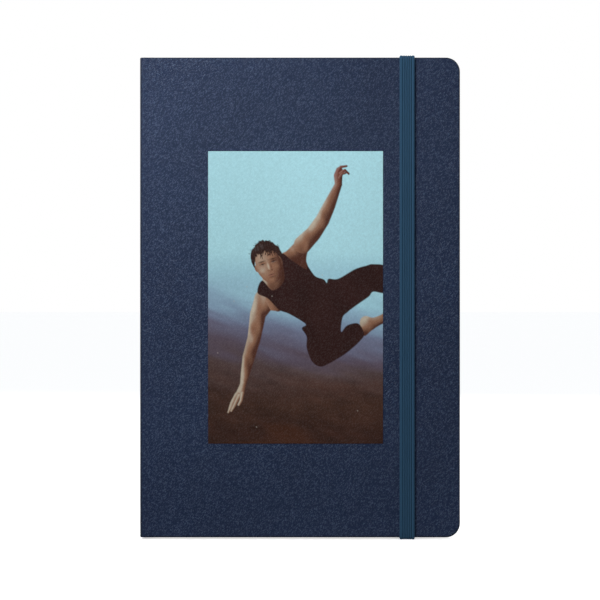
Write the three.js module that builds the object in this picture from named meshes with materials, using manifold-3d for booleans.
// A closed hardcover notebook, standing on its tail edge.
// Millimetres. +X runs from the spine to the fore-edge, the front cover faces -Y and +Z is up,
// with the origin at the middle of the bottom of the whole object's box.
import * as THREE from 'three';
import Module from 'manifold-3d';
import { mergeVertices } from 'three/addons/utils/BufferGeometryUtils.js';

const wasm = await Module();
wasm.setup();

// ---------------------------------------------------------------- driving dimensions
const coverWidth = 140; // spine edge to fore-edge
const coverHeight = 210; // tail edge to head edge
const cornerRadius = 6.2; // fore-edge corners of the covers
const edgeRadius = 0.8; // rounding of the leather over the edges of the boards
const jointInset = 4; // spine edge to the fold line that each cover turns about
const square = 3; // how far the covers stand past the pages

const leatherThick = 0.5;
const turnInThick = 0.3; // leather pared thin where it is folded over the inside of the board
const turnInWidth = 14;
const boardThick = 2;
const spineBoardThick = 1.5;
const paperThick = 0.15; // endpapers
const borderWidth = 4; // leather left showing round each pastedown

const signatureCount = 10;
const signatureThick = 0.9;
const fannedCount = 4; // signatures that lift as the front cover opens

const bandWidth = 6.6;
const bandThick = 0.9;
const bandFromSpine = 116.9; // spine edge to the band's middle
const slitInset = 16; // head or tail edge to the slit that the band goes through
const bandTailLength = 12; // glued end of the band under the back pastedown

const pictureWidth = 76.5;
const pictureHeight = 127.9;
const pictureFromSpine = 29.8;
const pictureFromHead = 41;
const pictureThick = 0.1;

const layerGap = 0.05; // between flat layers that lie on each other
const blockGap = 0.1; // between a cover and the pages
const cutGap = 0.15; // round a piece that sits in a pocket or slit

const threadThick = 0.35;
const mullThick = 0.2;
const mullInset = 8; // the crash cloth stops this far short of the pages' head and tail
const liningThick = 0.15;
const hollowBack = 0.3; // air between the spine lining and the spine board
const spineEdgeRadius = 1.5;
const headBandRadius = 0.8;
const threadStations = 5;

const beyond = 1; // how far a cutting shape runs past what it cuts

// ---------------------------------------------------------------- worked-out places
const coverThick =
  leatherThick + layerGap + boardThick + layerGap + turnInThick + layerGap + paperThick;
const signaturePitch = signatureThick + layerGap;
const blockThick = signatureCount * signaturePitch + layerGap + 2 * (paperThick + layerGap);
const thick = 2 * (coverThick + blockGap) + blockThick;
const front = -thick / 2; // outer face of the front cover
const back = thick / 2;
const spineX = -coverWidth / 2;
const foreX = coverWidth / 2;
const tailZ = bandThick + layerGap; // the band under the tail edge is what touches the floor
const headZ = tailZ + coverHeight;
const jointX = spineX + jointInset;

const liningX = spineX + leatherThick + layerGap + spineBoardThick + hollowBack;
const mullX = liningX + liningThick + layerGap;
const threadX = mullX + mullThick + layerGap;
const foldX = threadX + threadThick + layerGap;
const pageRight = foreX - square;
const pageTail = tailZ + square;
const pageHead = headZ - square;
const blockFront = front + coverThick + blockGap;
const firstSignature = blockFront + paperThick + 2 * layerGap;

const bandX = spineX + bandFromSpine;

// ---------------------------------------------------------------- materials
function material(colour, roughness, metalness = 0) {
  return new THREE.MeshStandardMaterial({ color: colour, roughness, metalness });
}
const leather = () => material(0x263453, 0.55);
const greyBoard = () => material(0x8d8778, 0.9);
const endpaper = () => material(0xefe7d2, 0.85);
const page = () => material(0xf4eddb, 0.85);
const elastic = () => material(0x22415a, 0.75);
const thread = () => material(0xf2f0e8, 0.7);
const crashCloth = () => material(0xe8e2d0, 0.9);
const bandCloth = () => material(0x2b3b60, 0.8);
const print = () => material(0x7fa3ab, 0.5);

// ---------------------------------------------------------------- shapes
// A flat piece: a rectangle seen from the front, with its fore-edge corners rounded.
function outline(x0, x1, z0, z1, radius) {
  const shape = new THREE.Shape();
  shape.moveTo(x0, z0);
  if (radius > 0) {
    shape.lineTo(x1 - radius, z0);
    shape.absarc(x1 - radius, z0 + radius, radius, -Math.PI / 2, 0, false);
    shape.lineTo(x1, z1 - radius);
    shape.absarc(x1 - radius, z1 - radius, radius, 0, Math.PI / 2, false);
  } else {
    shape.lineTo(x1, z0);
    shape.lineTo(x1, z1);
  }
  shape.lineTo(x0, z1);
  shape.closePath();
  return shape;
}

// Extrudes a shape drawn in X and Z from y0 to y1.
function slab(shape, y0, y1, bevel = 0) {
  const geometry = new THREE.ExtrudeGeometry(shape, {
    depth: y1 - y0 - 2 * bevel,
    curveSegments: 8,
    bevelEnabled: bevel > 0,
    bevelThickness: bevel,
    bevelSize: bevel,
    bevelOffset: -bevel,
    bevelSegments: 2,
  });
  return geometry.rotateX(Math.PI / 2).translate(0, y1 - bevel, 0);
}

// Extrudes a profile drawn in X and Y from z0 to z1.
function column(shape, z0, z1) {
  const geometry = new THREE.ExtrudeGeometry(shape, {
    depth: z1 - z0,
    curveSegments: 6,
    bevelEnabled: false,
  });
  return geometry.translate(0, 0, z0);
}

function block(x0, x1, y0, y1, z0, z1) {
  const geometry = new THREE.BoxGeometry(x1 - x0, y1 - y0, z1 - z0);
  return geometry.translate((x0 + x1) / 2, (y0 + y1) / 2, (z0 + z1) / 2);
}

function solid(geometry) {
  const bare = geometry.clone();
  bare.deleteAttribute('normal');
  bare.deleteAttribute('uv');
  const merged = mergeVertices(bare, 1e-4);
  return new wasm.Manifold(
    new wasm.Mesh({
      numProp: 3,
      vertProperties: merged.attributes.position.array,
      triVerts: new Uint32Array(merged.index.array),
    }),
  );
}

function geometryOf(manifold) {
  const mesh = manifold.getMesh();
  const geometry = new THREE.BufferGeometry();
  geometry.setAttribute('position', new THREE.BufferAttribute(mesh.vertProperties, 3));
  geometry.setIndex(new THREE.BufferAttribute(mesh.triVerts, 1));
  geometry.computeVertexNormals();
  return geometry;
}

function cut(geometry, ...tools) {
  return geometryOf(tools.reduce((left, tool) => left.subtract(solid(tool)), solid(geometry)));
}

function mirroredInY(geometry) {
  const loose = geometry.index ? geometry.toNonIndexed() : geometry.clone();
  const flipped = loose.scale(1, -1, 1);
  const position = flipped.attributes.position;
  for (let i = 0; i < position.count; i += 3) {
    const first = new THREE.Vector3().fromBufferAttribute(position, i);
    const third = new THREE.Vector3().fromBufferAttribute(position, i + 2);
    position.setXYZ(i, third.x, third.y, third.z);
    position.setXYZ(i + 2, first.x, first.y, first.z);
  }
  flipped.computeVertexNormals();
  return flipped;
}

const group = new THREE.Group();
function add(name, geometry, finish) {
  const mesh = new THREE.Mesh(geometry, finish);
  mesh.name = name;
  group.add(mesh);
}

// ---------------------------------------------------------------- covers
// The leather is a tray: an outer skin, rounded edges, and turn-ins folded over the board's inside.
function coverLeather() {
  const inner = front + leatherThick + layerGap + boardThick + layerGap + turnInThick;
  const left = jointX + layerGap;
  const outer = slab(outline(left, foreX, tailZ, headZ, cornerRadius), front, inner, edgeRadius);
  const pocket = slab(
    outline(
      left - beyond,
      foreX - leatherThick,
      tailZ + leatherThick,
      headZ - leatherThick,
      cornerRadius - leatherThick,
    ),
    front + leatherThick,
    inner - turnInThick,
  );
  const opening = slab(
    outline(left - beyond, foreX - turnInWidth, tailZ + turnInWidth, headZ - turnInWidth, 0),
    inner - turnInThick - beyond,
    inner + beyond,
  );
  return cut(outer, pocket, opening);
}

function coverBoard() {
  const inset = leatherThick + cutGap;
  return slab(
    outline(
      jointX + layerGap,
      foreX - inset,
      tailZ + inset,
      headZ - inset,
      cornerRadius - inset,
    ),
    front + leatherThick + layerGap,
    front + leatherThick + layerGap + boardThick,
  );
}

function coverPastedown() {
  const inner = front + coverThick;
  return slab(
    outline(
      jointX + layerGap,
      foreX - borderWidth,
      tailZ + borderWidth,
      headZ - borderWidth,
      cornerRadius - square,
    ),
    inner - paperThick,
    inner,
  );
}

// The printed panel lies on the leather of the front cover.
function coverPicture() {
  const x0 = spineX + pictureFromSpine;
  const z1 = headZ - pictureFromHead;
  return block(
    x0,
    x0 + pictureWidth,
    front - layerGap - pictureThick,
    front - layerGap,
    z1 - pictureHeight,
    z1,
  );
}

// ---------------------------------------------------------------- spine
function spineLeather() {
  const inner = spineEdgeRadius - leatherThick;
  const right = jointX - layerGap;
  const cx = spineX + spineEdgeRadius;
  const cy = thick / 2 - spineEdgeRadius;
  const shape = new THREE.Shape();
  shape.moveTo(right, front);
  shape.lineTo(right, front + leatherThick);
  shape.absarc(cx, -cy, inner, -Math.PI / 2, -Math.PI, true);
  shape.absarc(cx, cy, inner, Math.PI, Math.PI / 2, true);
  shape.lineTo(right, back - leatherThick);
  shape.lineTo(right, back);
  shape.absarc(cx, cy, spineEdgeRadius, Math.PI / 2, Math.PI, false);
  shape.absarc(cx, -cy, spineEdgeRadius, Math.PI, 1.5 * Math.PI, false);
  shape.closePath();
  return column(shape, tailZ, headZ);
}

function spineBoard() {
  const x0 = spineX + leatherThick + layerGap;
  const y1 = back - spineEdgeRadius;
  const inset = leatherThick + cutGap;
  return block(x0, x0 + spineBoardThick, -y1, y1, tailZ + inset, headZ - inset);
}

// ---------------------------------------------------------------- pages
// One signature: folded sheets with a round fold at the spine and rounded fore-edge corners.
function signature(y0) {
  const radius = signatureThick / 2;
  const fold = foldX + radius;
  const section = new THREE.Shape();
  section.moveTo(fold, y0);
  section.lineTo(pageRight, y0);
  section.lineTo(pageRight, y0 + signatureThick);
  section.lineTo(fold, y0 + signatureThick);
  section.absarc(fold, y0 + radius, radius, Math.PI / 2, 1.5 * Math.PI, false);
  const trim = slab(
    outline(foldX - beyond, pageRight, pageTail, pageHead, cornerRadius),
    y0 - beyond,
    y0 + signatureThick + beyond,
  );
  return geometryOf(solid(column(section, pageTail, pageHead)).intersect(solid(trim)));
}

function flyleaf(y0) {
  return slab(
    outline(jointX + layerGap, pageRight, pageTail, pageHead, cornerRadius),
    y0,
    y0 + paperThick,
  );
}

const stackFront = firstSignature;
const stackBack = firstSignature + signatureCount * signaturePitch - layerGap;

// A linked row of stitches across the folds.
function sewingThread(z) {
  const shape = new THREE.Shape();
  shape.absarc(threadX + threadThick / 2, z, threadThick / 2, 0, 2 * Math.PI, false);
  return slab(shape, stackFront, stackBack);
}

// A strip of cloth or paper down the back of the folds.
function backStrip(x0, thickness, inset) {
  return block(x0, x0 + thickness, stackFront, stackBack, pageTail + inset, pageHead - inset);
}

// A woven roll that finishes the head or tail of the page block at the spine.
function pageBand(z) {
  const shape = new THREE.Shape();
  shape.absarc(foldX + headBandRadius, z, headBandRadius, 0, 2 * Math.PI, false);
  return slab(shape, stackFront, stackBack);
}

// ---------------------------------------------------------------- elastic band
const bandLeft = bandX - bandWidth / 2;
const bandRight = bandX + bandWidth / 2;
const bandOuter = thick / 2 + layerGap + bandThick;

function bandWrap(z0) {
  return block(bandLeft, bandRight, -bandOuter, bandOuter, z0, z0 + bandThick);
}

// An end of the band: down the outside of the back cover, through the slit, and along the board.
// Drawn in Y and Z for the head end; up is -1 for the tail end.
function bandAnchor(edgeZ, up) {
  const slit = edgeZ - up * slitInset;
  const half = bandThick / 2;
  const boardInner = back - leatherThick - layerGap - boardThick;
  const under = boardInner + layerGap;
  const points = [
    [bandOuter - bandThick, edgeZ],
    [bandOuter, edgeZ],
    [bandOuter, slit - up * half],
    [under + bandThick, slit - up * half],
    [under + bandThick, slit - up * bandTailLength],
    [under, slit - up * bandTailLength],
    [under, slit + up * half],
    [bandOuter - bandThick, slit + up * half],
  ].map(([y, z]) => new THREE.Vector2(y, z));
  const geometry = new THREE.ExtrudeGeometry(new THREE.Shape(points), {
    depth: bandWidth,
    bevelEnabled: false,
  });
  // Shape X, Y and depth become Y, Z and X.
  const turn = new THREE.Matrix4().makeBasis(
    new THREE.Vector3(0, 1, 0),
    new THREE.Vector3(0, 0, 1),
    new THREE.Vector3(1, 0, 0),
  );
  return geometry.applyMatrix4(turn).translate(bandLeft, 0, 0);
}

function bandSlit(edgeZ, up) {
  const slit = edgeZ - up * slitInset;
  const half = bandThick / 2 + cutGap;
  return block(bandLeft - cutGap, bandRight + cutGap, 0, bandOuter, slit - half, slit + half);
}

// Shallow pocket in the inside of the back board for the glued end.
function bandPocket(edgeZ, up) {
  const slit = edgeZ - up * slitInset;
  const far = slit - up * (bandTailLength + cutGap);
  const boardInner = back - leatherThick - layerGap - boardThick;
  return block(
    bandLeft - cutGap,
    bandRight + cutGap,
    boardInner - beyond,
    boardInner + layerGap + bandThick + cutGap,
    Math.min(slit, far),
    Math.max(slit, far),
  );
}

const slits = [bandSlit(headZ, 1), bandSlit(tailZ, -1)];
const pockets = [bandPocket(headZ, 1), bandPocket(tailZ, -1)];

// ---------------------------------------------------------------- assembly
add('front_leather', coverLeather(), leather());
add('front_board', coverBoard(), greyBoard());
add('front_pastedown', coverPastedown(), endpaper());
add('cover_picture', coverPicture(), print());

add('back_leather', cut(mirroredInY(coverLeather()), ...slits), leather());
add('back_board', cut(mirroredInY(coverBoard()), ...slits, ...pockets), greyBoard());
add('back_pastedown', mirroredInY(coverPastedown()), endpaper());

add('spine_leather', spineLeather(), leather());
add('spine_board', spineBoard(), greyBoard());

add('front_flyleaf', flyleaf(blockFront), endpaper());
for (let i = 0; i < signatureCount; i += 1) {
  const kind = i < fannedCount ? 'lifting_signature' : 'signature';
  const name = `${kind}_${String(i + 1).padStart(2, '0')}`;
  add(name, signature(firstSignature + i * signaturePitch), page());
}
add('back_flyleaf', flyleaf(stackBack + layerGap), endpaper());

for (let i = 0; i < threadStations; i += 1) {
  const share = (i + 0.5) / threadStations;
  const z = pageTail + share * (pageHead - pageTail);
  add(`sewing_thread_${i + 1}`, sewingThread(z), thread());
}
add('mull', backStrip(mullX, mullThick, mullInset), crashCloth());
add('spine_lining', backStrip(liningX, liningThick, 0), endpaper());
add('head_band', pageBand(pageHead + layerGap + headBandRadius), bandCloth());
add('tail_band', pageBand(pageTail - layerGap - headBandRadius), bandCloth());

add('band_head_anchor', bandAnchor(headZ, 1), elastic());
add('band_tail_anchor', bandAnchor(tailZ, -1), elastic());
add('band_head_wrap', bandWrap(headZ + layerGap), elastic());
add('band_tail_wrap', bandWrap(0), elastic());
add(
  'band_front_span',
  block(bandLeft, bandRight, -bandOuter, -bandOuter + bandThick, tailZ, headZ),
  elastic(),
);

export default group;
